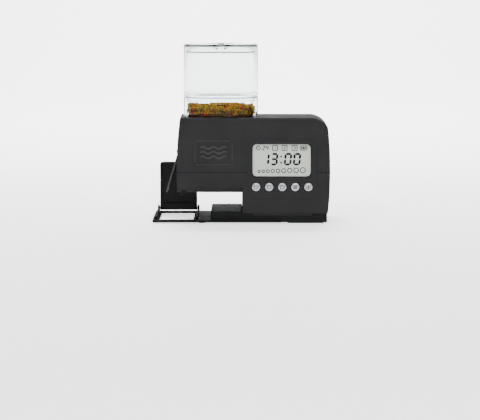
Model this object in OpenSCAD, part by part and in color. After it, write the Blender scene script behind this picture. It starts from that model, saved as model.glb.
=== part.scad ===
// Automatic fish feeder for the feed hatch of an aquarium hood.
// Frame: +X along the arm towards the control column, +Y to the rear, +Z up, millimetres.
// Origin: centre of the footprint, on the surface that the base stands on.

/* [Housing] */
// Depth of the housing, front to back
body_d = 64; // [60:0.5:72]
// Height of the roof above the hood
body_top = 105; // [98:0.1:125]
// Underside of the column above the hood
column_bottom = 10; // [9:0.1:14]
// Outer face of the column's left side
column_left = 1; // [-2:0.5:3]
// Furthest reach of the column's bulged right side
column_right = 88.8; // [86:0.1:110]
// Furthest reach of the arm's bulged left end
arm_left = -64; // [-75:0.5:-62]
// Underside of the arm above the hood
arm_bottom = 30; // [27:0.5:31]
// Height of the seam between the two housing halves
seam_z = 51; // [50:0.5:54]
// Gap that shows as the seam line
seam_gap = 0.3; // [0.1:0.05:0.6]
// Housing wall
wall = 2.2; // [1.6:0.1:2.6]
// Rounding of the roof's front and rear edges
top_r = 5; // [3:0.5:7]
// Rounding of the roof's right-hand corner
corner_r = 20; // [14:1:24]
// Rounding of the arm's belly
belly_r = 11; // [6:0.5:14]
// Radius of the column's bulged side
side_bulge_r = 400; // [300:10:800]
// Radius of the arm's bulged end
end_bulge_r = 422; // [300:10:800]
// Depth of the recessed badge field
badge_depth = 0.6; // [0.3:0.1:1]
// Width of the badge field
badge_w = 37.5; // [30:0.5:40]
// Height of the badge field
badge_h = 23.8; // [20:0.2:28]
// Left edge of the badge field
badge_x = -46; // [-50:0.5:-42]
// Lower edge of the badge field
badge_z = 58.6; // [56:0.2:62]

/* [Control panel] */
// Width of the panel
panel_w = 69.4; // [68:0.2:72]
// Height of the panel
panel_h = 59.4; // [58:0.2:64]
// Lower edge of the panel above the hood
panel_z = 24.8; // [20:0.2:27]
// Left edge of the panel
panel_x = 6.1; // [5:0.1:9]
// Corner rounding of the panel
panel_r = 9.4; // [4:0.2:12]
// Visible width of the display
screen_w = 57.6; // [50:0.2:60]
// Visible height of the display
screen_h = 32; // [28:0.2:34]
// Button diameter
button_d = 8.4; // [6:0.1:9.5]
// Distance between buttons
button_pitch = 13; // [11:0.1:13.5]
// Button travel
button_travel = 0.8; // [0.4:0.1:1]

/* [Hopper] */
// Outer width of the hopper
hopper_w = 74.3; // [64:0.1:76]
// Outer depth of the hopper
hopper_d = 56; // [48:0.5:57]
// Plan corner rounding of the hopper
hopper_r = 22; // [14:0.5:26]
// Left edge of the hopper
hopper_x = -57.45; // [-58:0.05:-52]
// Clear wall of the hopper
hopper_wall = 2; // [1.8:0.1:2.4]
// Height of the fixed clear collar above the roof
collar_h = 19.2; // [14:0.2:30]
// Height of the lift-off tank
tank_h = 50.9; // [30:0.1:80]
// Depth of food that stands above the roof
food_h = 11.4; // [4:0.1:13]

/* [Feed screw] */
// Height of the screw's axis above the hood
screw_z = 47; // [46.5:0.1:48]
// Outer radius of the screw
screw_r = 11.6; // [9:0.1:11.8]
// Running gap between the screw and its tube
screw_gap = 0.6; // [0.4:0.1:1]
// Advance for one turn
screw_pitch = 20; // [12:1:26]
// Wall of the feed tube
tube_wall = 1.6; // [1.2:0.1:1.8]
// Gear module of the drive
gear_m = 0.8; // [0.6:0.1:0.8]

/* [Outlet flap] */
// Opening angle of the flap as it feeds
flap_open = 16.6; // [10:0.1:30]
// Length of the flap below its pin
flap_len = 43; // [37:0.5:45]
// Width of the flap
flap_w = 36; // [32:0.5:40]
// Thickness of the flap
flap_t = 1.4; // [1:0.1:1.6]

/* [Base] */
// Length of the thin hatch plate
plate_l = 129; // [125:0.5:150]
// How far the hatch plate reaches in front of the housing
plate_front = 1; // [0:0.5:6]
// How far the hatch plate reaches behind the housing
plate_rear = 12; // [10:0.5:25]
// Thickness of the hatch plate
plate_t = 2; // [1.6:0.1:2.4]
// Left edge of the hatch plate
plate_x = -88.5; // [-100:0.5:-87.5]
// Length of the dock block
dock_l = 116; // [114:0.5:118]
// How far the dock's front and rear faces lie inside the housing's
dock_inset = 1; // [0:0.5:3]
// Height of the dock's step above the hood
dock_top = 11.9; // [11:0.1:13]
// Depth of the foot's socket in the dock
socket_depth = 2.3; // [1.5:0.1:3]
// Height of the rubber pads
pad_h = 1; // [0.6:0.1:1.6]
// Width of the hatch opening
hatch_w = 38.4; // [30:0.1:40]
// Height of the open hatch above its pin
hatch_h = 48; // [40:0.1:55]

/* [Hidden] */
$fn = 64;
gap = 0.15;              // clearance between fitted pieces that don't move
slide_gap = 0.3;         // clearance between pieces that lift apart
fuse = 0.01;             // overlap that joins two solids of one piece

// ---- derived places ----
half_d = body_d / 2;
badge_r = 3;
side_x = column_right + 0.5;                 // plane that the bulge trims
corner_x = side_x - corner_r;
corner_z = body_top - corner_r;
hopper_cx = hopper_x + hopper_w / 2;
neck_w = hopper_w - 2 * hopper_wall;         // inside of the hopper, outside of its neck
neck_d = hopper_d - 2 * hopper_wall;
neck_r = hopper_r - hopper_wall;
neck_drop = 5.6;                             // neck below the roof's outer face
collar_top = body_top + collar_h;
gasket_t = 0.8;
tank_base = collar_top + gasket_t + 0.05;
tank_top = collar_top + tank_h;
spigot_h = 4;
lid_t = 2.2;
skirt_h = 7.4;
dish_r = 15.5;
dish_depth = 6;
grip_w = 9;
panel_back = 3.55;                           // panel thickness through its rim
flange = 2;                                  // how far the rim reaches behind the wall
screen_x = panel_x + (panel_w - screen_w) / 2 - 0.5;
screen_z = panel_z + 22.2;
screen_margin = 1.5;                         // lens edge hidden behind the panel
lens_t = 1.2;
lens_y = -half_d + 1.7;
module_t = 2.6;
module_y = lens_y + lens_t + 0.1;
board_x = [panel_x + 2.9, panel_x + panel_w - 2.5];
board_y = -half_d + 8.4;
board_z = [panel_z + 1.2, panel_z + panel_h + 1];
board_t = 1.6;
panel_post_x = [panel_x + 6.4, panel_x + panel_w - 6.5];
panel_post_z = [panel_z + 3.8, panel_z + panel_h - 1];
button_z = panel_z + 11.6;
button_x = [for (i = [-2:2]) panel_x + panel_w / 2 + 0.2 + i * button_pitch];
tube_r = screw_r + screw_gap;
tube_end = 15.8;
intake_y = 9;                                // half width of the feed tube's intake
chimney_top = screw_z + tube_r + tube_wall + 0.4;
funnel_wall = 1.6;
flap_pin_x = arm_left + 1.7;
flap_pin_z = screw_z + 24;
frame_x = flap_pin_x + 2.1;                  // floor of the outlet recess
frame_half = 20.3;
frame_z0 = arm_bottom + 3.4;
frame_z1 = flap_pin_z + 3.4;
screw_gear_n = 28;
idler_small_n = 14;
idler_large_n = 30;
pinion_n = 12;
idler_reach = (screw_gear_n + idler_small_n) / 2 * gear_m;
pinion_reach = (idler_large_n + pinion_n) / 2 * gear_m;
idler_lean = [-0.28, 0.96];                  // unit direction from the screw to the idler
idler_y = idler_lean[0] * idler_reach;
idler_z = screw_z + idler_lean[1] * idler_reach;
pinion_z = idler_z + pinion_reach;
plate_in_x = tube_end + 0.2;
gear_plate_t = 1.6;
gear1_x = plate_in_x + 2.4;
gear2_x = gear1_x + 4.8;
plate_out_x = gear2_x + 4.8;
motor_x = plate_out_x + gear_plate_t + 0.1;
motor_l = 24;
motor_r = 10;
motor_boss_r = 3.1;
shaft_r = 3;
run = 0.05;                                  // radial running clearance
cell_r = 7.2;
cell_l = 50.2;
cell_pitch = 15;
cell_x = [for (i = [0:3]) 28 + i * cell_pitch];
cell_y = half_d - wall - 1.4 - cell_r;
cell_z = 18;
case_x = [19.6, 81.4];
case_y = [cell_y - cell_r - 1.8, half_d - wall - 0.2];
case_z = [column_bottom + wall + 0.2, 72.4];
cover_x = [20.4, 80.6];
gear_plate_y = [-18.6, case_y[0] - 0.4];
gear_plate_z = [case_z[0], body_top - wall - 7.8];
post_at = [for (y = [gear_plate_y[0] + 3.1, gear_plate_y[1] - 3], 
                  z = [gear_plate_z[0] + 5.6, gear_plate_z[1] - 3]) [y, z]];
post_pin_r = 1.2;
cover_z = [column_bottom + 5, 71.4];
floor_z = pad_h;                             // underside of the base's mouldings
plate_top = floor_z + plate_t;
plate_y = -half_d - plate_front;
plate_d = body_d + plate_front + plate_rear;
dock_d = body_d - 2 * dock_inset;
plate_end = plate_x + plate_l;
dock_x = -30;
dock_seat = column_bottom - 0.1;
foot_x = [11.5, 70.4];
hatch_x = plate_x + 4.5;
hatch_pin_y = plate_y + plate_d - 3;
hatch_pin_z = plate_top + 3.4;
hatch_t = 4.4;
base_screw_at = [for (x = [dock_x + 7, plate_end - 9], y = [-22, 22]) [x, y]];
pad_y = [-26, 36];                           // front and rear pads, clear of the hatch
pad_strip_y = 28.9;
pin_r = 1;
boss_at = [[arm_left + 7, 6.5 - half_d], [arm_left + 7, half_d - 6.5],
           [column_right - 5.8, -16], [column_right - 5.8, 8]];
boss_r = 3.4;
pilot_r = 1.3;
screw_head_r = 2.6;
screw_thread_r = 1.25;

// ---- shared shapes ----

// Rectangle from (x0, y0) to (x1, y1) with its own radius at each corner, lower left first
module box2d(x0, y0, x1, y1, r) {
  polygon([
    [x0 + r[0], y0], [x1 - r[1], y0], [x1, y0 + r[1]], [x1, y1 - r[2]],
    [x1 - r[2], y1], [x0 + r[3], y1], [x0, y1 - r[3]], [x0, y0 + r[0]]]);
  translate([x0 + r[0], y0 + r[0]]) circle(r[0]);
  translate([x1 - r[1], y0 + r[1]]) circle(r[1]);
  translate([x1 - r[2], y1 - r[2]]) circle(r[2]);
  translate([x0 + r[3], y1 - r[3]]) circle(r[3]);
}

module even_box2d(x0, y0, x1, y1, r) box2d(x0, y0, x1, y1, [r, r, r, r]);

// Extrudes a (y, z) outline along +X
module along_x(x, length) translate([x, 0, 0]) rotate([90, 0, 90]) linear_extrude(length) children();

// Extrudes an (x, z) outline from y to y + depth
module along_y(y, depth) translate([0, y + depth, 0]) rotate([90, 0, 0]) linear_extrude(depth) children();

module box(x, y, z) translate([x[0], y[0], z[0]]) cube([x[1] - x[0], y[1] - y[0], z[1] - z[0]]);

module rod_x(x, y, z, r) translate([x[0], y, z]) rotate([0, 90, 0]) cylinder(r = r, h = x[1] - x[0]);

module rod_y(x, y, z, r) translate([x, y[1], z]) rotate([90, 0, 0]) cylinder(r = r, h = y[1] - y[0]);

module rod_z(x, y, z, r) translate([x, y, z[0]]) cylinder(r = r, h = z[1] - z[0]);

// Hopper outline grown by g, from z0 to z1
module hopper_prism(g, z0, z1) translate([hopper_cx, 0, z0]) linear_extrude(z1 - z0)
  even_box2d(-hopper_w / 2 - g, -hopper_d / 2 - g, hopper_w / 2 + g, hopper_d / 2 + g, hopper_r + g);

module ring_prism(g_out, g_in, z0, z1) difference() {
  hopper_prism(g_out, z0, z1);
  hopper_prism(g_in, z0 - 1, z1 + 1);
}

// Housing solid, shrunk by e on every side
module body_solid(e = 0) {
  left_r = max(2.5 - e, 0.4);
  intersection() {
    union() {
      along_x(arm_left - 4, corner_x - arm_left + 4)
        box2d(-half_d + e, arm_bottom + e, half_d - e, body_top - e,
              [belly_r - e, belly_r - e, top_r - e, top_r - e]);
      translate([corner_x, 0, corner_z]) rotate([90, 0, 0]) rotate_extrude(angle = 90)
        box2d(0, -half_d + e, corner_r - e, half_d - e, [0.001, top_r - e, top_r - e, 0.001]);
      translate([0, 0, column_bottom + e]) linear_extrude(corner_z - column_bottom - e)
        box2d(column_left + e, -half_d + e, side_x - e, half_d - e, [left_r, top_r - e, top_r - e, left_r]);
    }
    rod_y(column_right - side_bulge_r, [-half_d, half_d], seam_z, side_bulge_r - e, $fn = 256);
    rod_y(arm_left + end_bulge_r, [-half_d, half_d], seam_z, end_bulge_r - e, $fn = 256);
  }
}

// Everything that is cut through the housing's wall
module housing_openings() {
  along_y(-half_d - 1, wall + 2)
    even_box2d(panel_x - gap, panel_z - gap, panel_x + panel_w + gap, panel_z + panel_h + gap, panel_r + gap);
  along_y(half_d - wall - 1, wall + 2)
    even_box2d(cover_x[0], cover_z[0], cover_x[1], cover_z[1], 3);
  box([arm_left - 3, frame_x + 2.4], [-frame_half - gap, frame_half + gap], [frame_z0 - gap, frame_z1 + gap]);
  hopper_prism(gap - hopper_wall, body_top - wall - 1, body_top + 1);
}

// ---- housing ----

// Locating tab on a straight wall: fused below the seam, free above it
module seam_tab(x, side) {
  y_wall = side * (half_d - wall);
  inner = y_wall - side * 1.4;
  box([x, x + 10], [min(inner, y_wall + side * 0.2), max(inner, y_wall + side * 0.2)],
      [seam_z - 5, seam_z - 1]);
  free = y_wall - side * gap;
  box([x, x + 10], [min(inner, free), max(inner, free)], [seam_z - 1 - fuse, seam_z + 3]);
}

module upper_housing() color([0.16, 0.16, 0.165]) difference() {
  union() {
    difference() {
      body_solid(0);
      body_solid(wall);
      box([arm_left - 5, side_x + 5], [-half_d - 1, half_d + 1], [0, seam_z + seam_gap / 2]);
      housing_openings();
      along_y(-half_d - 1, 1 + badge_depth) 
        even_box2d(badge_x, badge_z, badge_x + badge_w, badge_z + badge_h, badge_r);
    }
    intersection() {
      body_solid(0.5);
      for (b = boss_at) rod_z(b[0], b[1], [seam_z + seam_gap / 2, body_top], boss_r);
    }
  }
  for (b = boss_at) rod_z(b[0], b[1], [seam_z - 1, seam_z + 12], pilot_r);
}

module lower_housing() color([0.14, 0.14, 0.145]) {
  difference() {
    union() {
      difference() {
        body_solid(0);
        body_solid(wall);
        box([arm_left - 5, side_x + 5], [-half_d - 1, half_d + 1], [seam_z - seam_gap / 2, body_top + 5]);
        housing_openings();
      }
      intersection() {
        body_solid(0.5);
        for (b = boss_at) rod_z(b[0], b[1], [column_bottom, seam_z - seam_gap / 2], boss_r);
      }
      // foot that plugs into the dock
      box(foot_x, [-half_d + 1, half_d - 3], [column_bottom - socket_depth + 0.1, column_bottom + 1]);
      // nose under the outlet
      translate([0, 8, 0]) rotate([90, 0, 0]) linear_extrude(16) polygon([
        [arm_left + 2.2, arm_bottom + 1], [arm_left + 2.2, arm_bottom - 5.4],
        [arm_left + 19.5, arm_bottom + 0.2], [arm_left + 19.5, arm_bottom + 1]]);
      for (x = [-40, -14], side = [-1, 1]) seam_tab(x, side);
    }
    for (b = boss_at) {
      rod_z(b[0], b[1], [0, seam_z + 1], screw_thread_r + 0.35);
      rod_z(b[0], b[1], [0, (b[0] < column_left ? arm_bottom : column_bottom) + 5], screw_head_r + 0.5);
    }
  }
}

// Four self-tapping screws, driven up from below
module housing_screws() color([0.55, 0.56, 0.58]) for (b = boss_at) {
  head_z = (b[0] < column_left ? arm_bottom : column_bottom) + 5;
  difference() {
    rod_z(b[0], b[1], [head_z - 1.8, head_z], screw_head_r);
    rod_z(b[0], b[1], [head_z - 3, head_z - 0.9], 1.2, $fn = 6);
  }
  rod_z(b[0], b[1], [head_z - fuse, seam_z + 11], screw_thread_r);
}

// ---- control panel ----

module control_panel() color([0.17, 0.17, 0.175]) {
  x1 = panel_x + panel_w;
  z1 = panel_z + panel_h;
  sx1 = screen_x + screen_w;
  sz1 = screen_z + screen_h;
  difference() {
    union() {
      along_y(-half_d, panel_back) even_box2d(panel_x, panel_z, x1, z1, panel_r);
      along_y(-half_d + wall + gap, panel_back - wall - gap)
        even_box2d(panel_x - flange, panel_z - flange, x1 + flange, z1 + flange, panel_r + flange);
    }
    along_y(-half_d - 1, panel_back + 2) even_box2d(screen_x, screen_z, sx1, sz1, 4);
    hull() {
      along_y(-half_d - 0.1, 0.1 + fuse) 
        even_box2d(screen_x - 1.6, screen_z - 3.6, sx1 + 2.2, sz1 + 0.6, 5.5, $fn = 32);
      along_y(-half_d + 1.5, fuse) even_box2d(screen_x, screen_z, sx1, sz1, 4, $fn = 32);
    }
    along_y(lens_y, panel_back) even_box2d(
      screen_x - screen_margin - gap, screen_z - screen_margin - gap,
      sx1 + screen_margin + gap, sz1 + screen_margin + gap, 2);
    for (x = button_x) rod_y(x, [-half_d - 1, -half_d + panel_back + 1], button_z, button_d / 2 + 0.25);
  }
  for (x = panel_post_x, z = panel_post_z) rod_y(x, [-half_d + panel_back - fuse, board_y], z, 1.6);
}

module display_window() color([0.75, 0.8, 0.82, 0.35]) along_y(lens_y, lens_t) even_box2d(
  screen_x - screen_margin, screen_z - screen_margin,
  screen_x + screen_w + screen_margin, screen_z + screen_h + screen_margin, 2);

module display_module() color([0.72, 0.74, 0.7]) box(
  [screen_x - 1, screen_x + screen_w + 1], [module_y, module_y + module_t],
  [screen_z - 1, screen_z + screen_h + 1]);

module display_holder() color([0.85, 0.85, 0.82]) difference() {
  y0 = module_y + module_t;
  box([screen_x - 1, screen_x + screen_w + 1], [y0, board_y], [screen_z - 1, screen_z + screen_h + 1]);
  box([screen_x + 1, screen_x + screen_w - 1], [y0 - 1, board_y + 1], [screen_z + 1, screen_z + screen_h - 1]);
}

module main_board() color([0.08, 0.3, 0.18]) difference() {
  box(board_x, [board_y, board_y + board_t], board_z);
  for (x = panel_post_x, z = panel_post_z) rod_y(x, [board_y - 1, board_y + 3], z, 1.1);
}

// Chips, four capacitors and a buzzer on the board's rear face
module board_parts() color([0.1, 0.1, 0.11]) {
  y0 = board_y + board_t;
  chips = [[46, 60, 10, 10, 1.8], [60, 62, 6, 5, 1.4], [34, 40, 8, 6, 2.2]];  // x, z, width, height, thickness
  capacitors = [for (i = [0:3]) [48 + i * 5, 50, 2.4, 4, 1]];
  for (c = concat(chips, capacitors)) box([c[0], c[0] + c[2]], [y0, y0 + c[4]], [c[1], c[1] + c[3]]);
  buzzer_at = [64, 40];
  rod_y(buzzer_at[0], [y0, y0 + 2.4], buzzer_at[1], 5);
}

module tact_switches() color([0.2, 0.2, 0.21]) for (x = button_x) union() {
  box([x - 2.2, x + 2.2], [board_y - 1, board_y], [button_z - 2.2, button_z + 2.2]);
  rod_y(x, [board_y - 1.4, board_y - 0.9], button_z, 1.1);
}

// Button cap, the rim that holds it behind the panel, and the stem towards its switch
module push_button(n) color([0.86, 0.87, 0.88]) translate([button_x[n], 0, button_z]) {
  back = -half_d + panel_back + gap;
  rotate([90, 0, 0]) rotate_extrude() polygon([
    [0, -back - 1.2], [button_d / 2 + 0.9, -back - 1.2], [button_d / 2 + 0.9, -back],
    [button_d / 2, -back], [button_d / 2, half_d + 0.3], [button_d / 2 - 0.5, half_d + 0.8],
    [0, half_d + 1]]);
  rod_y(0, [back + 1.2 - fuse, board_y - 1.4 - button_travel - gap], 0, 1.6);
}
module power_button() push_button(0);
module select_button() push_button(1);
module amount_button() push_button(2);
module set_button() push_button(3);
module manual_button() push_button(4);

// ---- hopper ----

module hopper_collar() color([0.85, 0.87, 0.87, 0.4]) {
  ring_prism(0, -hopper_wall, body_top, collar_top);
  difference() {
    ring_prism(-hopper_wall, -2 * hopper_wall, body_top - neck_drop, body_top + 1.6);
    hopper_prism(1, body_top + 1.6 - fuse, body_top + 3);
  }
  // catches on the front and rear walls
  for (side = [-1, 1]) {
    inner = side * (hopper_d / 2 - hopper_wall);
    box([hopper_cx - 3.7, hopper_cx + 3.7], [min(inner, inner - side * 0.8), max(inner, inner - side * 0.8)],
        [collar_top - 7.2, collar_top - 5.9]);
  }
}

module collar_gasket() color([0.3, 0.31, 0.31])
  ring_prism(-slide_gap, -hopper_wall, collar_top, collar_top + gasket_t);

module hopper_tank() color([0.88, 0.9, 0.9, 0.35]) {
  ring_prism(0, -hopper_wall, tank_base, tank_top);
  g = -hopper_wall - slide_gap - 0.15;
  ring_prism(g, g - 1.4, collar_top - spigot_h, tank_base + 4);
  ring_prism(-hopper_wall + fuse, g - 1.4, tank_base + 2, tank_base + 4);
}

module hopper_lid() color([0.78, 0.8, 0.8, 0.4]) {
  z0 = tank_top + gap;
  difference() {
    union() {
      hopper_prism(0, z0, z0 + lid_t - 0.8);
      hopper_prism(-0.9, z0, z0 + lid_t);
      ring_prism(-hopper_wall - slide_gap, -hopper_wall - slide_gap - 1.5, z0 - skirt_h, z0 + fuse);
      translate([hopper_cx, 0, z0 + lid_t - dish_depth - 1.5])
        cylinder(r1 = 5, r2 = dish_r + 1.2, h = dish_depth + 1.5);
    }
    // finger dish on each side of the grip bar
    difference() {
      translate([hopper_cx, 0, z0 + lid_t - dish_depth]) cylinder(r1 = 3.6, r2 = dish_r, h = dish_depth + fuse);
      box([hopper_cx - grip_w / 2, hopper_cx + grip_w / 2], [-20, 20], [z0 - 20, z0 + 20]);
    }
    // hollow under the grip bar
    box([hopper_cx - grip_w / 2 + 1.5, hopper_cx + grip_w / 2 - 1.5], [-dish_r - 3, dish_r + 3],
        [z0 - 20, z0 + lid_t - 1.5]);
  }
}

module lid_seal() color([0.6, 0.62, 0.62]) {
  g = -hopper_wall - 0.12;
  z0 = tank_top + gap - skirt_h + 1.2;
  ring_prism(g, -hopper_wall - slide_gap, z0, z0 + 1.2);
}

// Food above the roof, through the neck, and in the funnel
module food_granules() color([0.62, 0.46, 0.2]) {
  loose = 0.3;
  hopper_prism(-hopper_wall - loose, body_top + 1.6 + loose, body_top + food_h);
  hopper_prism(-2 * hopper_wall - loose, body_top - neck_drop, body_top + 1.6 + loose + fuse);
  hull() {
    hopper_prism(-2 * hopper_wall - 2 * loose, body_top - neck_drop - 0.1, body_top - neck_drop + fuse,
                 $fn = 32);
    box([hopper_cx - neck_w / 2 + 3, hopper_cx + neck_w / 2 - 3], [-intake_y + loose, intake_y - loose],
        [chimney_top + 1, chimney_top + 1.1]);
  }
}

module feed_funnel() color([0.2, 0.2, 0.21]) {
  top = body_top - neck_drop - 0.1;
  x0 = hopper_cx - neck_w / 2;
  x1 = hopper_cx + neck_w / 2;
  difference() {
    hull() {
      hopper_prism(-hopper_wall, top - 1.5, top, $fn = 32);
      box([x0, x1], [-intake_y - funnel_wall, intake_y + funnel_wall], [chimney_top, chimney_top + 1.5]);
    }
    hull() {
      hopper_prism(-2 * hopper_wall, top - 1.5, top + 1, $fn = 32);
      box([x0 + 2, x1 - 2], [-intake_y, intake_y], [chimney_top - 1, chimney_top + 1.5]);
    }
  }
}

// ---- feed tube, screw and outlet ----

module feed_tube() color([0.24, 0.24, 0.25]) {
  x0 = frame_x + 1.6;
  slot_x = [hopper_cx - neck_w / 2 + 2, hopper_cx + neck_w / 2 - 2];
  difference() {
    union() {
      rod_x([x0, tube_end], 0, screw_z, tube_r + tube_wall);
      box([slot_x[0] - funnel_wall, slot_x[1] + funnel_wall - 0.4],
          [-intake_y - funnel_wall, intake_y + funnel_wall], [screw_z + 6, chimney_top - 0.1]);
    }
    rod_x([x0 - 1, tube_end + 1], 0, screw_z, tube_r);
    box(slot_x, [-intake_y, intake_y], [screw_z + 4, chimney_top + 1]);
  }
}

module outlet_frame() color([0.13, 0.13, 0.135]) difference() {
  union() {
    box([frame_x, frame_x + 1.5], [-frame_half, frame_half], [frame_z0, frame_z1]);
    for (side = [-1, 1]) {
      inner = side * (flap_w / 2 + 0.5);
      outer = side * frame_half;
      y = [min(inner, outer), max(inner, outer)];
      box([flap_pin_x - 0.9, frame_x + fuse], y, [frame_z0, flap_pin_z]);
      rod_y(flap_pin_x, y, flap_pin_z, 2.2);
      box([flap_pin_x, frame_x + fuse], y, [flap_pin_z - 2.2, flap_pin_z + 2.2]);
    }
  }
  rod_x([frame_x - 1, frame_x + 3], 0, screw_z, tube_r);
  rod_y(flap_pin_x, [-frame_half - 1, frame_half + 1], flap_pin_z, pin_r - 0.2 + run);
}

module flap_turned() translate([flap_pin_x, 0, flap_pin_z]) rotate([0, flap_open, 0]) children();

module outlet_flap() color([0.2, 0.2, 0.21]) flap_turned() difference() {
  union() {
    rod_y(0, [-flap_w / 2, flap_w / 2], 0, 1.7);
    box([-flap_t / 2, flap_t / 2], [-flap_w / 2, flap_w / 2], [-flap_len, 0]);
  }
  rod_y(0, [-flap_w, flap_w], 0, pin_r - 0.2 + run);
}

module flap_pin() color([0.7, 0.71, 0.73]) rod_y(flap_pin_x, [-frame_half, frame_half], flap_pin_z, pin_r - 0.2);

module feed_screw() color([0.82, 0.82, 0.8]) {
  x0 = frame_x + 2;
  length = tube_end - 0.6 - x0;
  blade = 36;
  along = [for (a = [-blade / 2:9:blade / 2]) [screw_r * cos(a), screw_r * sin(a)]];
  translate([x0, 0, screw_z]) rotate([90, 0, 90])
    linear_extrude(length, twist = -360 * length / screw_pitch, slices = 66, $fn = 24) difference() {
      union() {
        circle(4.4, $fn = 20);
        polygon(concat([[0, 0]], along));
      }
      circle(shaft_r + 0.08, $fn = 24);
    }
}

module screw_shaft() color([0.75, 0.76, 0.78])
  rod_x([frame_x + 2.4, plate_out_x + gear_plate_t + 0.05], 0, screw_z, shaft_r);

module screw_bush() color([0.8, 0.68, 0.4]) difference() {
  union() {
    rod_x([plate_in_x, plate_in_x + gear_plate_t + 0.3], 0, screw_z, 5.4);
    rod_x([tube_end - 0.5, plate_in_x], 0, screw_z, 8);
  }
  rod_x([tube_end - 2, plate_in_x + 4], 0, screw_z, shaft_r + run);
}

// ---- gear train ----

function involute(a) = tan(a) - a * PI / 180;

// Involute gear outline with 25 degree flanks, stubbed to 0.8 modules, thinned by the play
module gear2d(n, phase = 0, bore = 1) {
  play = 0.14;
  r = n * gear_m / 2;
  base = r * cos(25);
  tip = r + 0.8 * gear_m;
  root = r - 1.05 * gear_m;
  steps = 4;
  start = max(base, root) + 0.001;
  half_pitch = 90 / n - play / (2 * r) * 180 / PI;
  flank = [for (i = [0:steps]) let (rho = start + (tip - start) * i / steps)
    [rho, half_pitch - (involute(acos(base / rho)) - involute(25)) * 180 / PI]];
  outline = [for (k = [0:n - 1]) let (c = phase + k * 360 / n) each concat(
    [[root * cos(c - flank[0][1] - 0.5), root * sin(c - flank[0][1] - 0.5)]],
    [for (p = flank) [p[0] * cos(c - p[1]), p[0] * sin(c - p[1])]],
    [for (i = [steps:-1:0]) [flank[i][0] * cos(c + flank[i][1]), flank[i][0] * sin(c + flank[i][1])]],
    [[root * cos(c + flank[0][1] + 0.5), root * sin(c + flank[0][1] + 0.5)]])];
  difference() {
    polygon(outline);
    circle(bore);
  }
}

// Phase of a driven gear of n teeth, seen at angle phi from a gear of m teeth with phase p
function mesh_phase(m, p, phi, n) =
  let (share = (phi - p) * m / 360) phi + 180 - (0.5 - (share - floor(share))) * 360 / n;

idler_phi = atan2(idler_lean[1], idler_lean[0]);
idler_phase = mesh_phase(screw_gear_n, 0, idler_phi, idler_small_n);
pinion_phase = mesh_phase(idler_large_n, idler_phase, 90, pinion_n);

module screw_gear() color([0.9, 0.9, 0.86]) {
  translate([0, 0, screw_z]) along_x(gear1_x, 4) gear2d(screw_gear_n, 0, shaft_r + run);
}

module idler_gear() color([0.9, 0.9, 0.86]) {
  translate([0, idler_y, idler_z]) {
    along_x(gear1_x - 0.2, 4.6 + fuse) gear2d(idler_small_n, idler_phase, 1.5 + run);
    along_x(gear2_x - 0.4, 3.8) gear2d(idler_large_n, idler_phase, 1.5 + run);
  }
}

module motor_pinion() color([0.85, 0.72, 0.4])
  translate([0, idler_y, pinion_z]) along_x(gear2_x - 0.5, 4) gear2d(pinion_n, pinion_phase, 1);

module motor_shaft() color([0.75, 0.76, 0.78]) rod_x([gear2_x - 1.2, motor_x + 4], idler_y, pinion_z, 1);

module idler_axle() color([0.75, 0.76, 0.78])
  rod_x([plate_in_x, plate_out_x + gear_plate_t], idler_y, idler_z, 1.5);

module gear_plate(x, hole) difference() {
  along_x(x, gear_plate_t) even_box2d(gear_plate_y[0], gear_plate_z[0], gear_plate_y[1], gear_plate_z[1], 2);
  rod_x([x - 1, x + 3], 0, screw_z, hole);
  rod_x([x - 1, x + 3], idler_y, idler_z, 1.5);
  for (p = post_at) rod_x([x - 1, x + 3], p[0], p[1], post_pin_r);
}

module gear_plate_inner() color([0.3, 0.3, 0.31]) gear_plate(plate_in_x, 5.4);

module gear_plate_outer() color([0.3, 0.3, 0.31]) difference() {
  gear_plate(plate_out_x, shaft_r + run);
  rod_x([plate_out_x - 1, plate_out_x + 3], idler_y, pinion_z, motor_boss_r + 0.1);
}

module gear_posts() color([0.7, 0.71, 0.73]) for (p = post_at) {
  rod_x([plate_in_x + gear_plate_t, plate_out_x], p[0], p[1], 2.2);
  rod_x([plate_in_x, plate_out_x + gear_plate_t + 0.8], p[0], p[1], post_pin_r);
}

module gear_motor() color([0.6, 0.61, 0.63]) difference() {
  union() {
    rod_x([motor_x, motor_x + motor_l], idler_y, pinion_z, motor_r);
    rod_x([motor_x - 1.4, motor_x + fuse], idler_y, pinion_z, motor_boss_r);
  }
  rod_x([motor_x - 3, motor_x + 4.1], idler_y, pinion_z, 1 + run);
}

module motor_cap() color([0.12, 0.12, 0.13]) {
  x = motor_x + motor_l;
  rod_x([x, x + 2.4], idler_y, pinion_z, motor_r - 0.6);
  for (y = [idler_y - 5, idler_y + 5])
    box([x + 2.3, x + 5], [y - 0.3, y + 0.3], [pinion_z - 1.2, pinion_z + 1.2]);
}

// ---- batteries ----

module battery_case() color([0.12, 0.12, 0.125]) difference() {
  box(case_x, case_y, case_z);
  // relief for the screw's gear, where a thicker housing wall brings the case near it
  rod_x([case_x[0] - 1, gear1_x + 4.6], 0, screw_z, screw_gear_n * gear_m / 2 + 0.8 * gear_m + slide_gap);
  box([case_x[0] + 1.2, case_x[1] - 1.2], [case_y[0] + 1.2, case_y[1] + 1], [case_z[0] + 1.2, case_z[1] - 1.2]);
}

module battery_cells() color([0.25, 0.42, 0.36]) for (i = [0:3]) translate([cell_x[i], cell_y, cell_z]) {
  up = i % 2 == 0;
  cylinder(r = cell_r, h = cell_l);
  translate([0, 0, up ? cell_l - fuse : -1.2]) cylinder(r = 2.7, h = 1.2 + fuse);
}

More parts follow.
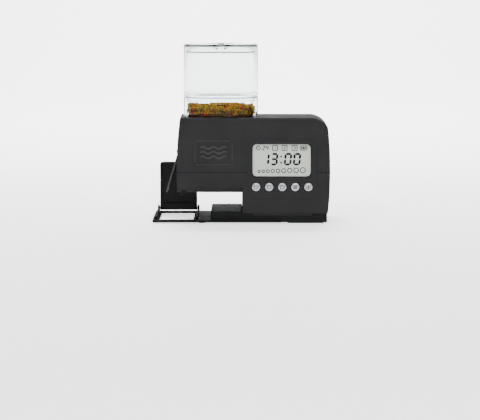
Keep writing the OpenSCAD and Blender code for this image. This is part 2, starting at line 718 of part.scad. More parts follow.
// A coil at each cell's flat end and a plate at its button end
module battery_contacts() color([0.78, 0.79, 0.8]) for (i = [0:3]) {
  up = i % 2 == 0;
  top_plate = cell_z + cell_l + 1.2;
  low_plate = cell_z - 1.2;
  coil_from = up ? case_z[0] + 1.2 : cell_z + cell_l;
  coil_to = up ? cell_z : case_z[1] - 1.2;
  translate([cell_x[i], cell_y, 0]) rotate_extrude()
    for (z = [coil_from + 0.35:0.6:coil_to - 0.3]) translate([3.6, z]) circle(0.34, $fn = 12);
  if (up) box([cell_x[i] - 4, cell_x[i] + 4], [cell_y - 4, cell_y + 4], [top_plate, case_z[1] - 1.2]);
  if (!up) box([cell_x[i] - 4, cell_x[i] + 4], [cell_y - 4, cell_y + 4], [case_z[0] + 1.2, low_plate]);
}

// Flush door with grip ribs and a finger notch
module battery_cover() color([0.15, 0.15, 0.155]) {
  x = [cover_x[0] + slide_gap, cover_x[1] - slide_gap];
  z = [cover_z[0] + slide_gap, cover_z[1] - slide_gap];
  mid = (x[0] + x[1]) / 2;
  difference() {
    along_y(half_d - wall + 0.1, wall - 0.1) even_box2d(x[0], z[0], x[1], z[1], 2.8);
    rod_z(mid, half_d + 2.4, [z[1] - 5, z[1] + 1], 3.4);
  }
  for (i = [0:4]) rod_x([mid - 8, mid + 8], half_d, z[1] - 9 - i * 2.2, 0.5);
}

// ---- base and hatch ----

module hatch_cheek(x) {
  box([x, x + 2.1], [plate_y + 9, hatch_pin_y], [plate_top - fuse, plate_top + 3]);
  rod_x([x, x + 2.1], hatch_pin_y, hatch_pin_z, 3);
  box([x, x + 2.1], [hatch_pin_y - 3, hatch_pin_y + 2.9], [plate_top - fuse, hatch_pin_z]);
}

module mount_plate() color([0.3, 0.31, 0.31]) {
  right = hatch_x + hatch_w;
  difference() {
    union() {
      translate([0, 0, floor_z]) linear_extrude(plate_t)
        even_box2d(plate_x, plate_y, plate_end, plate_y + plate_d, 2);
      hatch_cheek(hatch_x - 0.3 - 2.1);
      hatch_cheek(right + 0.3);
    }
    translate([0, 0, floor_z - 1]) linear_extrude(plate_t + 2)
      even_box2d(hatch_x + 2, plate_y + 8, right - 2, hatch_pin_y - 4, 2);
    rod_x([hatch_x - 5, right + 5], hatch_pin_y, hatch_pin_z, pin_r + run);
    for (s = base_screw_at) {
      rod_z(s[0], s[1], [0, plate_top + 1], 1.6);
      rod_z(s[0], s[1], [0, floor_z + 1], 2.9);
    }
  }
}

module dock_block() color([0.2, 0.2, 0.205]) difference() {
  half = dock_d / 2;
  union() {
    translate([0, 0, floor_z]) linear_extrude(dock_seat - floor_z)
      even_box2d(dock_x, -half, dock_x + dock_l, half, 3);
    translate([0, 0, floor_z]) linear_extrude(dock_top - floor_z)
      box2d(dock_x, -half, column_left - 0.4, half, [3, 0.3, 0.3, 3]);
  }
  box([foot_x[0] - slide_gap, foot_x[1] + slide_gap], [-half - 1, half_d - 3 + slide_gap],
      [column_bottom - socket_depth, dock_top]);
  box([dock_x - 1, plate_end + gap], [-half - 1, half + 1], [0, plate_top]);
  for (s = base_screw_at) rod_z(s[0], s[1], [0, floor_z + 6.2], 1.3 + run);
  // relief that saves plastic behind the plate's end
  box([plate_end + 4, dock_x + dock_l - 4], [-half + 4, half - 4], [0, column_bottom - socket_depth - 2]);
}

module base_pads() color([0.1, 0.1, 0.1]) {
  box([plate_x + 1.2, plate_x + 5.2], pad_y, [0, floor_z]);
  for (y = pad_y) rod_z(dock_x - 9, y, [0, floor_z], 4);
  rod_z(0, 0, [0, floor_z], 5);
  for (y = [-pad_strip_y, pad_strip_y]) box([plate_end + 6, dock_x + dock_l - 4], [y - 1.5, y + 1.5], [0, floor_z]);
}

module base_screws() color([0.6, 0.61, 0.63]) for (s = base_screw_at) {
  rod_z(s[0], s[1], [floor_z, floor_z + 1 - run], 2.6);
  rod_z(s[0], s[1], [floor_z + 1 - run - fuse, floor_z + 6], 1.3);
}

module hatch_door() color([0.07, 0.07, 0.072]) {
  x = [hatch_x + 0.1, hatch_x + hatch_w - 0.1];
  y = hatch_pin_y;
  top = hatch_pin_z + hatch_h;
  difference() {
    union() {
      rod_x(x, y, hatch_pin_z, 2.2);
      along_y(y + 2.2 - hatch_t, hatch_t) box2d(x[0], hatch_pin_z, x[1], top, [0.2, 0.2, 3, 3]);
    }
    along_y(y + 2.2 - hatch_t - 1, hatch_t - 0.6)
      box2d(x[0] + 2.3, hatch_pin_z + 5, x[1] - 2.3, top - 2.3, [1, 1, 2, 2]);
    box([x[0] - 1, x[1] + 1], [y - 2.21 - 2, y - 2.2], [0, top + 1]);
    rod_x([x[0] - 1, x[1] + 1], y, hatch_pin_z, pin_r + run);
  }
}

module hatch_pin() color([0.65, 0.66, 0.68])
  rod_x([hatch_x - 2.4, hatch_x + hatch_w + 2.4], hatch_pin_y, hatch_pin_z, pin_r);

mount_plate();
dock_block();
base_pads();
base_screws();
hatch_door();
hatch_pin();
upper_housing();
lower_housing();
housing_screws();
control_panel();
display_window();
display_module();
display_holder();
main_board();
board_parts();
tact_switches();
power_button();
select_button();
amount_button();
set_button();
manual_button();
hopper_collar();
collar_gasket();
feed_funnel();
food_granules();
hopper_tank();
hopper_lid();
lid_seal();
feed_tube();
outlet_frame();
outlet_flap();
flap_pin();
feed_screw();
screw_shaft();
screw_gear();
screw_bush();
gear_plate_inner();
gear_plate_outer();
gear_posts();
idler_gear();
idler_axle();
motor_pinion();
motor_shaft();
gear_motor();
motor_cap();
battery_case();
battery_cells();
battery_contacts();
battery_cover();
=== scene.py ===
"""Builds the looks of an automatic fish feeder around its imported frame. Lengths are in metres."""
import math

import bpy
import numpy as np
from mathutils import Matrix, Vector


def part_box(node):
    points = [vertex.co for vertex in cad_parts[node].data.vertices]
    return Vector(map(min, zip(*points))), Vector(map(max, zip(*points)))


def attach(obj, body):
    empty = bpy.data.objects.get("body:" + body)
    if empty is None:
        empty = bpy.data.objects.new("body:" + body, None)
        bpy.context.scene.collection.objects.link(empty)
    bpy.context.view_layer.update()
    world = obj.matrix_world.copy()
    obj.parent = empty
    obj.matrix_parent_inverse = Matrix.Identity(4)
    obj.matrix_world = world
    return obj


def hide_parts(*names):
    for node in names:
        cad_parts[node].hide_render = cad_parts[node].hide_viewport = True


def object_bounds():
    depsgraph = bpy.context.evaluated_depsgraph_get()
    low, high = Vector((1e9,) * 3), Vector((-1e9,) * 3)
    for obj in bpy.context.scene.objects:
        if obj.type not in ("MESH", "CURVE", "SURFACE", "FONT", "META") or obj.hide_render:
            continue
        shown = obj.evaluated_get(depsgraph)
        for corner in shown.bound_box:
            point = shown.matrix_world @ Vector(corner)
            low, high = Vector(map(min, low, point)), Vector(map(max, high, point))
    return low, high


bl_info = {
    "name": "Aquarium fish feeder",
    "version": (1, 0, 0),
    "blender": (4, 5, 0),
    "location": "3D View > Sidebar > Feeder",
    "description": "Builds an automatic fish feeder and its studio around a packed frame",
    "category": "Add Mesh",
}

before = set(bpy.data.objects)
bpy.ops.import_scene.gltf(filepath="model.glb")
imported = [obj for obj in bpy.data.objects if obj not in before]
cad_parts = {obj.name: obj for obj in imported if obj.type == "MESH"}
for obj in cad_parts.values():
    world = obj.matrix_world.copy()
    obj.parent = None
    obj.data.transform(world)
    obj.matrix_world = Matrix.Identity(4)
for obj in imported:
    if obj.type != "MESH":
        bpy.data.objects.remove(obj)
CAD_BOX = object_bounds()
MM = 0.001


def lengths(name, text, value, low, high):
    """A length property in metres, whose default and limits are given in millimetres."""
    return bpy.props.FloatProperty(
        name=name, description=text, unit="LENGTH", precision=5,
        default=value * MM, min=low * MM, max=high * MM)


def power(name, text, value):
    """A lamp's power in watts."""
    return bpy.props.FloatProperty(name=name, description=text, default=value, unit="POWER", min=0)


def strength(name, text, value, high):
    """A factor from nought up to a limit."""
    return bpy.props.FloatProperty(name=name, description=text, default=value, min=0, max=high)


def tint(name, text, hexed):
    """A colour property that holds linear values of an sRGB hex colour."""
    return bpy.props.FloatVectorProperty(
        name=name, description=text, subtype="COLOR", size=3, min=0, max=1, default=linear(hexed))


def linear(hexed):
    """Linear RGB of an sRGB hex colour: a channel c over 0.04045 is ((c + 0.055) / 1.055) ** 2.4."""
    channels = [int(hexed[i:i + 2], 16) / 255 for i in (1, 3, 5)]
    return tuple(c / 12.92 if c <= 0.04045 else ((c + 0.055) / 1.055) ** 2.4 for c in channels)


class FeederSizes(bpy.types.PropertyGroup):
    """Sizes of what is added to the frame."""
    edge_round: lengths("Edge rounding", "Width of the bevel on moulded edges", 0.3, 0.05, 1)
    grain_length: lengths("Grain length", "Length of a food granule", 3.7, 1, 6)
    grain_thickness: lengths("Grain thickness", "Thickness of a food granule", 2.1, 0.5, 4)
    grain_spacing: lengths("Grain spacing", "Distance between neighbouring granules", 2.3, 1, 5)
    grain_layer: lengths("Grain layer", "Depth of loose granules over the core", 3.4, 1, 6)
    hopper_corner: lengths("Hopper corner", "Plan corner radius of the hopper", 22, 5, 27)
    hopper_wall: lengths("Hopper wall", "Wall of the collar and the tank", 2, 1, 3)
    food_depth: lengths("Food depth", "Food over the collar's shelf", 9.3, 4, 12)
    digit_height: lengths("Digit height", "Height of the clock digits", 12.5, 5, 20)
    digit_width: lengths("Digit width", "Width of a clock digit", 7.6, 3, 12)
    segment: lengths("Segment width", "Width of a clock digit's bars", 2.1, 0.5, 3)
    icon_size: lengths("Icon size", "Size of the mark on a button", 5.2, 1, 7)


class FeederColours(bpy.types.PropertyGroup):
    """Colours of the feeder's finishes."""
    housing: tint("Housing", "Charcoal ABS", "#252526")
    # paler than the housing's ABS: painted light on the outlet flap
    flap: tint("Flap", "Outlet flap", "#3A3A3B")
    hatch: tint("Hatch", "Black hatch", "#0A0A0B")
    base: tint("Base", "Dark grey base", "#181919")
    clear: tint("Clear plastic", "Hopper, lid and window", "#F4F8F8")
    lid: tint("Lid", "Smoke-tinted clear lid", "#4E5351")
    gasket: tint("Gasket", "Grey gasket", "#5E6062")
    lcd: tint("Display", "Unlit display ground", "#A9ABA2")
    ink: tint("Display marks", "Dark display segments", "#131311")
    button: tint("Buttons", "Silver caps", "#A3A5A7")
    grain_ochre: tint("Ochre granules", "Ochre food", "#7D5A0C")
    grain_olive: tint("Olive granules", "Olive food", "#4E4C08")
    grain_red: tint("Red granules", "Red food", "#8A1606")
    grain_brown: tint("Brown granules", "Brown food", "#241203")
    floor: tint("Floor", "Studio floor", "#F4F4F4")


class StudioSettings(bpy.types.PropertyGroup):
    """Camera and light."""
    lens: bpy.props.FloatProperty(
        name="Lens", description="Focal length", default=134.4, unit="CAMERA", min=20, max=300)
    distance: lengths("Distance", "From the camera to the housing's front", 1770, 200, 5000)
    key: power("Key light", "Power of the key light", 18)
    fill: power("Fill light", "Power of the fill light", 9)
    top: power("Top light", "Power of the top light", 9)
    wall: power("Wall light", "Power on the backdrop", 120)
    glow: strength("Floor glow", "Light that the floor gives", 1.1, 5)
    haze: strength("Room light", "Strength of the room's light", 0.1, 2)


def add(tree, kind, inputs=None, **settings):
    """Adds a node of a kind, sets its settings, and sets or links its inputs by name or index."""
    node = tree.nodes.new(kind)
    for name, value in settings.items():
        setattr(node, name, value)
    for name, value in (inputs or {}).items():
        if isinstance(value, bpy.types.NodeSocket):
            tree.links.new(value, node.inputs[name])
        else:
            node.inputs[name].default_value = value
    return node


def finish_material(name):
    """An empty material with its Principled shader linked to the output, and Object coordinates."""
    made = bpy.data.materials.new(name)
    made.use_nodes = True
    tree = made.node_tree
    tree.nodes.clear()
    shader = add(tree, "ShaderNodeBsdfPrincipled")
    output = add(tree, "ShaderNodeOutputMaterial")
    tree.links.new(shader.outputs[0], output.inputs["Surface"])
    place = add(tree, "ShaderNodeTexCoord").outputs["Object"]
    return made, tree, shader, place


def ramp(tree, value, stops):
    """A colour ramp on a value, with stops as (position, linear colour)."""
    node = add(tree, "ShaderNodeValToRGB", {"Fac": value})
    bar = node.color_ramp
    while len(bar.elements) < len(stops):
        bar.elements.new(0.5)
    for element, (position, colour) in zip(bar.elements, stops):
        element.position = position
        element.color = (*colour, 1)
    return node.outputs["Color"]


def shade(colour, share):
    """A linear colour made lighter or darker by a share."""
    return tuple(min(1, c * share) for c in colour)


def moulded(name, colour, rough, grain_mm, bump, spread=0.06, metallic=0.0, gloss=0.5):
    """Moulded plastic or rubber: an even colour with faint flow clouds and a fine eroded grain.

    The clouds are about 30 mm wide, as the flow marks of a moulding are. The grain is the tool's
    texture: its width is grain_mm, bump is how strongly it shows, and its peaks are a little duller.
    A low gloss keeps dark plastic from mirroring the bright floor and backdrop.
    """
    made, tree, shader, place = finish_material(name)
    clouds = add(tree, "ShaderNodeTexNoise", {"Vector": place, "Scale": 1 / (30 * MM), "Detail": 2.0})
    grain = add(tree, "ShaderNodeTexNoise", {
        "Vector": place, "Scale": 1 / (grain_mm * MM), "Detail": 3.0, "Roughness": 0.6})
    low, high = shade(colour, 1 - spread), shade(colour, 1 + spread)
    body = ramp(tree, clouds.outputs["Fac"], [(0.35, low), (0.65, high)])
    tree.links.new(body, shader.inputs["Base Color"])
    dull = add(tree, "ShaderNodeMapRange", {
        "Value": grain.outputs["Fac"], "From Min": 0.3, "From Max": 0.7,
        "To Min": rough - 0.05, "To Max": rough + 0.05})
    tree.links.new(dull.outputs[0], shader.inputs["Roughness"])
    relief = add(tree, "ShaderNodeBump", {
        "Height": grain.outputs["Fac"], "Strength": bump, "Distance": 0.05 * MM})
    tree.links.new(relief.outputs[0], shader.inputs["Normal"])
    shader.inputs["Metallic"].default_value = metallic
    shader.inputs["Specular IOR Level"].default_value = gloss
    return made


def metal(name, colour, rough, line_mm):
    """Drawn or rolled metal: a mirror-like colour with fine lines along X, line_mm apart."""
    made, tree, shader, place = finish_material(name)
    stretch = add(tree, "ShaderNodeMapping", {"Vector": place, "Scale": (0.05, 1, 1)})
    lines = add(tree, "ShaderNodeTexNoise", {
        "Vector": stretch.outputs[0], "Scale": 1 / (line_mm * MM), "Detail": 2.0})
    dull = add(tree, "ShaderNodeMapRange", {
        "Value": lines.outputs["Fac"], "To Min": rough - 0.08, "To Max": rough + 0.08})
    tree.links.new(dull.outputs[0], shader.inputs["Roughness"])
    shader.inputs["Base Color"].default_value = (*colour, 1)
    shader.inputs["Metallic"].default_value = 1
    return made


def clear_plastic(name, colour, rough, haze=0.05, ior=1.49):
    """Clear styrene or acrylic: polished, with faint wipe marks about 12 mm long in its gloss.

    An ior under the real 1.49 is for looks: the piece mirrors less, and what is behind it keeps its tone.
    """
    made, tree, shader, place = finish_material(name)
    marks = add(tree, "ShaderNodeTexNoise", {"Vector": place, "Scale": 1 / (12 * MM), "Detail": 4.0})
    dull = add(tree, "ShaderNodeMapRange", {
        "Value": marks.outputs["Fac"], "From Min": 0.4, "From Max": 0.8,
        "To Min": rough, "To Max": rough + haze})
    tree.links.new(dull.outputs[0], shader.inputs["Roughness"])
    shader.inputs["Base Color"].default_value = (*colour, 1)
    shader.inputs["Transmission Weight"].default_value = 1
    shader.inputs["IOR"].default_value = ior
    return made


def put_on(made, *objects):
    """Gives objects one material."""
    for o in objects:
        o.data.materials.clear()
        o.data.materials.append(made)


def span(node):
    """Lowest and highest corner of a CAD node as two numpy arrays."""
    low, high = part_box(node)
    return np.array(low), np.array(high)


def mesh_piece(name, points, faces, body, smooth=True):
    """A mesh object from points and faces, riding on a body."""
    data = bpy.data.meshes.new(name)
    data.from_pydata(np.asarray(points, float).tolist(), [], [list(map(int, f)) for f in faces])
    data.polygons.foreach_set("use_smooth", np.full(len(data.polygons), smooth))
    data.update()
    made = bpy.data.objects.new(name, data)
    bpy.context.scene.collection.objects.link(made)
    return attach(made, body)


def grid_faces(rows, around, closed_rows=False):
    """Quads of a grid of rows by around points, each row closed, wound so that rows rising in z face out."""
    i, j = np.meshgrid(np.arange(rows if closed_rows else rows - 1), np.arange(around), indexing="ij")
    up, right = (i + 1) % rows, (j + 1) % around
    corners = [i * around + j, i * around + right, up * around + right, up * around + j]
    return np.stack(corners, -1).reshape(-1, 4)


def rounded_rings(centre, half_x, half_y, radius, z, per_corner=12):
    """Rounded rectangles, one per entry of half_x, half_y, radius and z, as an array (rows, points, 3).

    A point on a corner is the corner's centre plus radius times (cos t, sin t), with t running over
    the corner's quarter turn. The four quarters, anticlockwise, join with straight sides.
    """
    half_x, half_y, radius, z = np.broadcast_arrays(
        *[np.atleast_1d(np.asarray(v, float)) for v in (half_x, half_y, radius, z)])
    t = np.concatenate([np.linspace(q, q + 1, per_corner) for q in range(4)]) * math.pi / 2
    signs = np.repeat([[1, 1], [-1, 1], [-1, -1], [1, -1]], per_corner, axis=0)
    x = centre[0] + signs[:, 0] * (half_x - radius)[:, None] + radius[:, None] * np.cos(t)
    y = centre[1] + signs[:, 1] * (half_y - radius)[:, None] + radius[:, None] * np.sin(t)
    return np.stack([x, y, np.broadcast_to(z[:, None], x.shape)], -1)


def round_profile(corners, radii, steps=5):
    """A closed 2D profile with rounded corners: each is a quadratic curve between its cut-back points."""
    corners, radii = np.asarray(corners, float), np.asarray(radii, float)
    back, ahead = np.roll(corners, 1, 0) - corners, np.roll(corners, -1, 0) - corners
    starts = corners + back * (radii / np.linalg.norm(back, axis=1))[:, None]
    ends = corners + ahead * (radii / np.linalg.norm(ahead, axis=1))[:, None]
    t = np.linspace(0, 1, steps)[None, :, None]
    curve = (1 - t) ** 2 * starts[:, None] + 2 * t * (1 - t) * corners[:, None] + t ** 2 * ends[:, None]
    return curve.reshape(-1, 2)


def swept_wall(name, body, centre, half, radius, profile, per_corner=14):
    """A closed wall: a profile of (inset, z) points carried round a rounded rectangle.

    Each profile point gives one ring, whose half sizes and corner radius are the outline's less the inset.
    """
    inset, z = profile[:, 0], profile[:, 1]
    rings = rounded_rings(centre, half[0] - inset, half[1] - inset, radius - inset, z, per_corner)
    rows, around = rings.shape[:2]
    return mesh_piece(name, rings.reshape(-1, 3), grid_faces(rows, around, closed_rows=True), body)


def lathe(name, body, centre, profile, around=48):
    """A turned piece about Y: profile is (radius, y) from one pole to the other, both on the axis."""
    profile = np.asarray(profile, float)
    ring = profile[1:-1]
    t = np.arange(around) * 2 * math.pi / around
    x = centre[0] + ring[:, :1] * np.cos(t)
    z = centre[2] - ring[:, :1] * np.sin(t)
    y = np.broadcast_to(ring[:, 1:] + centre[1], x.shape)
    points = np.concatenate([np.stack([x, y, z], -1).reshape(-1, 3),
                             [[centre[0], centre[1] + profile[0, 1], centre[2]],
                              [centre[0], centre[1] + profile[-1, 1], centre[2]]]])
    faces = grid_faces(len(ring), around).tolist()
    first, last = len(points) - 2, len(points) - 1
    tail = (len(ring) - 1) * around
    faces += [[first, (j + 1) % around, j] for j in range(around)]
    faces += [[last, tail + j, tail + (j + 1) % around] for j in range(around)]
    return mesh_piece(name, points, faces, body)


def plates(name, body, outlines, y_front, thickness):
    """Thin plates that face the front: each outline is (x, z) points, anticlockwise seen from the front."""
    points, faces = [], []
    for outline in outlines:
        outline = np.asarray(outline, float)
        n, base = len(outline), len(points)
        for y in (y_front, y_front + thickness):
            points += [[x, y, z] for x, z in outline]
        faces.append([base + i for i in range(n)])
        faces.append([base + n + i for i in reversed(range(n))])
        faces += [[base + i, base + n + i, base + n + (i + 1) % n, base + (i + 1) % n] for i in range(n)]
    return mesh_piece(name, points, faces, body, smooth=False)


def stack(name, body, centre, levels, per_corner=12, smooth=False):
    """A closed solid through level rounded rectangles: each level is (z, half x, half y, corner radius)."""
    z, half_x, half_y, radius = np.array(levels).T
    rings = rounded_rings(centre, half_x, half_y, radius, z, per_corner)
    rows, around = rings.shape[:2]
    caps = [list(range(around))[::-1], [(rows - 1) * around + j for j in range(around)]]
    return mesh_piece(name, rings.reshape(-1, 3), grid_faces(rows, around).tolist() + caps, body, smooth)


def finish_node(node, made, edge=None):
    """Gives a CAD node its material, and rounds its moulded edges with live modifiers."""
    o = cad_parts[node]
    put_on(made, o)
    if edge:
        if "custom_normal" in o.data.attributes:
            o.data.attributes.remove(o.data.attributes["custom_normal"])
        o.data.polygons.foreach_set("use_smooth", np.full(len(o.data.polygons), True))
        weld = o.modifiers.new("weld", "WELD")
        weld.merge_threshold = 0.002 * MM
        bevel = o.modifiers.new("edges", "BEVEL")
        bevel.width = edge
        bevel.segments = 2
        bevel.limit_method = "ANGLE"
        bevel.angle_limit = math.radians(32)
        bevel.harden_normals = True
        bevel.use_clamp_overlap = True


class FEEDER_OT_frame_finish(bpy.types.Operator):
    """Gives the CAD nodes that stay visible their materials and rounded edges."""
    bl_idname = "feeder.frame_finish"
    bl_label = "Finish the frame"

    def execute(self, context):
        colours, sizes = context.scene.feeder_colours, context.scene.feeder_sizes
        edge = sizes.edge_round
        # ABS, injection moulded in a lightly eroded tool: matt, with hardly a highlight
        housing = moulded("charcoal_abs", tuple(colours.housing), 0.72, 0.35, 0.12, gloss=0.02)
        # the same ABS, a little glossier; its paler colour is painted light that the flap catches
        flap = moulded("flap_abs", tuple(colours.flap), 0.4, 0.35, 0.12, gloss=0.15)
        # black ABS from a polished tool: dark, with a tighter highlight
        hatch = moulded("black_abs", tuple(colours.hatch), 0.3, 0.5, 0.08, gloss=0.1)
        # dark grey ABS: matt, so that the bright floor does not show in it
        base = moulded("grey_abs", tuple(colours.base), 0.75, 0.6, 0.05, gloss=0.02)
        steel = metal("plated_steel", linear("#B9BBBE"), 0.3, 0.2)
        dark = moulded("inner_abs", linear("#1B1B1C"), 0.55, 0.4, 0.1)
        white = moulded("acetal", linear("#E4E3DC"), 0.35, 0.6, 0.05)
        rubber = moulded("soft_rubber", linear("#222222"), 0.8, 0.5, 0.3)
        gasket = moulded("gasket_rubber", tuple(colours.gasket), 0.6, 0.6, 0.1)
        groups = {
            housing: ["upper_housing", "lower_housing", "control_panel", "outlet_frame", "battery_cover"],
            flap: ["outlet_flap"], hatch: ["hatch_door"], base: ["mount_plate", "dock_block"],
            steel: ["base_screws", "hatch_pin", "housing_screws", "flap_pin", "screw_shaft", "gear_posts",
                    "idler_axle", "motor_shaft", "battery_contacts"],
            dark: ["board_parts", "tact_switches", "motor_cap", "battery_case", "feed_funnel", "feed_tube",
                   "gear_plate_inner", "gear_plate_outer"],
            white: ["display_holder", "feed_screw", "screw_gear", "idler_gear"],
            rubber: ["base_pads"],
            gasket: ["collar_gasket", "lid_seal"],
            metal("brass", linear("#C9A24C"), 0.3, 0.2): ["screw_bush", "motor_pinion"],
            metal("motor_can", linear("#A8AAAC"), 0.35, 0.3): ["gear_motor"],
            moulded("solder_mask", linear("#1E5B38"), 0.3, 0.8, 0.1): ["main_board"],
            moulded("cell_film", linear("#2F5C4B"), 0.3, 1.0, 0.02): ["battery_cells"],
            moulded("lcd_ground", tuple(colours.lcd), 0.6, 1.2, 0.0, spread=0.02, gloss=0.05):
                ["display_module"],
        }
        bevelled = {"upper_housing", "lower_housing", "control_panel", "outlet_frame", "battery_cover",
                    "outlet_flap", "hatch_door", "mount_plate", "dock_block"}
        for made, nodes in groups.items():
            for node in nodes:
                finish_node(node, made, edge if node in bevelled else None)
        return {"FINISHED"}


def clear_walls(made, *pieces):
    """Clear pieces let lamp light through to what they hold."""
    put_on(made, *pieces)
    for piece in pieces:
        piece.visible_shadow = False


class FEEDER_OT_hopper(bpy.types.Operator):
    """Makes the clear collar and tank, and finishes the lid and the display window."""
    bl_idname = "feeder.hopper"
    bl_label = "Make the hopper"

    def execute(self, context):
        sizes, colours = context.scene.feeder_sizes, context.scene.feeder_colours
        collar_low, collar_high = span("hopper_collar")
        tank_low, tank_high = span("hopper_tank")
        half = (collar_high - collar_low)[:2] / 2
        centre = (collar_high + collar_low)[:2] / 2
        radius, wall = sizes.hopper_corner, sizes.hopper_wall
        roof = span("upper_housing")[1][2]
        clear = clear_plastic("clear_styrene", tuple(colours.clear), 0.01, 0.02)
        # the collar's walls mirror less, so that the food behind them keeps its colour
        quiet = clear_plastic("collar_styrene", tuple(colours.clear), 0.0, 0.02, ior=1.14)

        shelf = roof + 1.6 * MM
        collar = swept_wall("collar", "feeder", centre, half, radius, round_profile(
            [(0, roof), (0, collar_high[2]), (wall, collar_high[2]), (wall, shelf),
             (2 * wall, shelf), (2 * wall, collar_low[2]), (wall, collar_low[2]), (wall, roof)],
            np.array([0.2, 0.5, 0.5, 0.3, 0.4, 0.3, 0.3, 0.2]) * MM))
        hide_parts("hopper_collar")

        seat = span("collar_gasket")[1][2] + 0.05 * MM
        spigot, inner = wall + 0.45 * MM, wall + 1.85 * MM
        tank = swept_wall("tank", "tank", centre, half, radius, round_profile(
            [(0, seat), (0, tank_high[2]), (wall, tank_high[2]), (wall, seat + 4 * MM),
             (inner, seat + 4 * MM), (inner, tank_low[2]), (spigot, tank_low[2]),
             (spigot, seat + 2 * MM), (wall, seat + 2 * MM), (wall, seat)],
            np.array([0.5, 0.6, 0.6, 0.4, 0.4, 0.3, 0.3, 0.15, 0.15, 0.4]) * MM))
        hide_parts("hopper_tank")
        # catches on the inside of the front and rear walls
        catch_z = np.array([collar_high[2] - 7.2 * MM, collar_high[2] - 5.9 * MM])
        catch_half, catch_thick = 3.7, 0.8 * MM
        outline = [(centre[0] + x * MM, catch_z[i]) for x, i in (
            (-catch_half, 0), (catch_half, 0), (catch_half, 1), (-catch_half, 1))]
        inside = half[1] - wall
        front_catch = plates("front_catch", "feeder", [outline], centre[1] - inside, catch_thick)
        rear_catch = plates("rear_catch", "feeder", [outline], centre[1] + inside - catch_thick, catch_thick)
        # a plain boss in the middle of the lid's grip bar
        top = span("hopper_lid")[1][2]
        boss_side, boss_top = [3.4 * MM] * 3, [3.2 * MM] * 3
        boss = stack("lid_boss", "lid", centre, [
            (top - 0.1 * MM, *boss_side), (top + 0.35 * MM, *boss_side), (top + 0.5 * MM, *boss_top)], 10)
        clear_walls(clear, tank, front_catch, rear_catch)
        clear_walls(quiet, collar)
        window = clear_plastic("window_acrylic", tuple(colours.clear), 0.0, 0.004, ior=1.06)
        clear_walls(window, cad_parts["display_window"])
        # the lid is the same plastic with a smoke tint in its top and dish; its skirt is clear
        dish_r, plate_low = 17 * MM, top - 2.4 * MM
        lid = clear_plastic("smoke_styrene", tuple(colours.lid), 0.06)
        tree = lid.node_tree
        place = add(tree, "ShaderNodeTexCoord").outputs["Object"]
        aside = add(tree, "ShaderNodeVectorMath", {0: place, 1: (*centre, 0)}, operation="SUBTRACT")
        flat = add(tree, "ShaderNodeVectorMath", {0: aside.outputs[0], 1: (1, 1, 0)}, operation="MULTIPLY")
        reach = add(tree, "ShaderNodeVectorMath", {0: flat.outputs[0]}, operation="LENGTH")
        dish = add(tree, "ShaderNodeMath", {0: reach.outputs["Value"], 1: dish_r}, operation="LESS_THAN")
        level = add(tree, "ShaderNodeSeparateXYZ", {0: place})
        upper = add(tree, "ShaderNodeMath", {0: level.outputs["Z"], 1: plate_low}, operation="GREATER_THAN")
        smoked = add(tree, "ShaderNodeMath", {0: dish.outputs[0], 1: upper.outputs[0]}, operation="MAXIMUM")
        body = ramp(tree, smoked.outputs[0], [(0.4, tuple(colours.clear)), (0.6, tuple(colours.lid))])
        tree.links.new(body, tree.nodes["Principled BSDF"].inputs["Base Color"])
        finish_node("hopper_lid", lid, 0.25 * MM)
        clear_walls(lid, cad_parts["hopper_lid"], boss)
        return {"FINISHED"}


def food_height(x, y):
    """Rise of the food's top over its mean level.

    One sine wave is 44 mm long in x. The other is 31 mm long in y, times a cosine 17 mm long in x.
    """
    return 0.6 * MM * np.sin(x / (7 * MM) + 1) + 0.4 * MM * np.sin(y / (5 * MM)) * np.cos(x / (2.7 * MM))


def spindle(around=6):
    """A unit granule: rings whose radius is the square root of 1 - x squared, plus two poles."""
    x = np.array([-0.72, 0.0, 0.72])
    t = np.arange(around) * 2 * math.pi / around
    r = np.sqrt(1 - x ** 2)
    ring = np.stack([
        np.broadcast_to(x[:, None], (3, around)), r[:, None] * np.cos(t), r[:, None] * np.sin(t)], -1)
    points = np.concatenate([ring.reshape(-1, 3), [[-1, 0, 0], [1, 0, 0]]])
    faces = []
    for i in range(2):
        for j in range(around):
            a, b = i * around + j, i * around + (j + 1) % around
            faces += [[a, a + around, b], [b, a + around, b + around]]
    for j in range(around):
        faces.append([3 * around, j, (j + 1) % around])
        faces.append([3 * around + 1, 2 * around + (j + 1) % around, 2 * around + j])
    return points, np.array(faces)


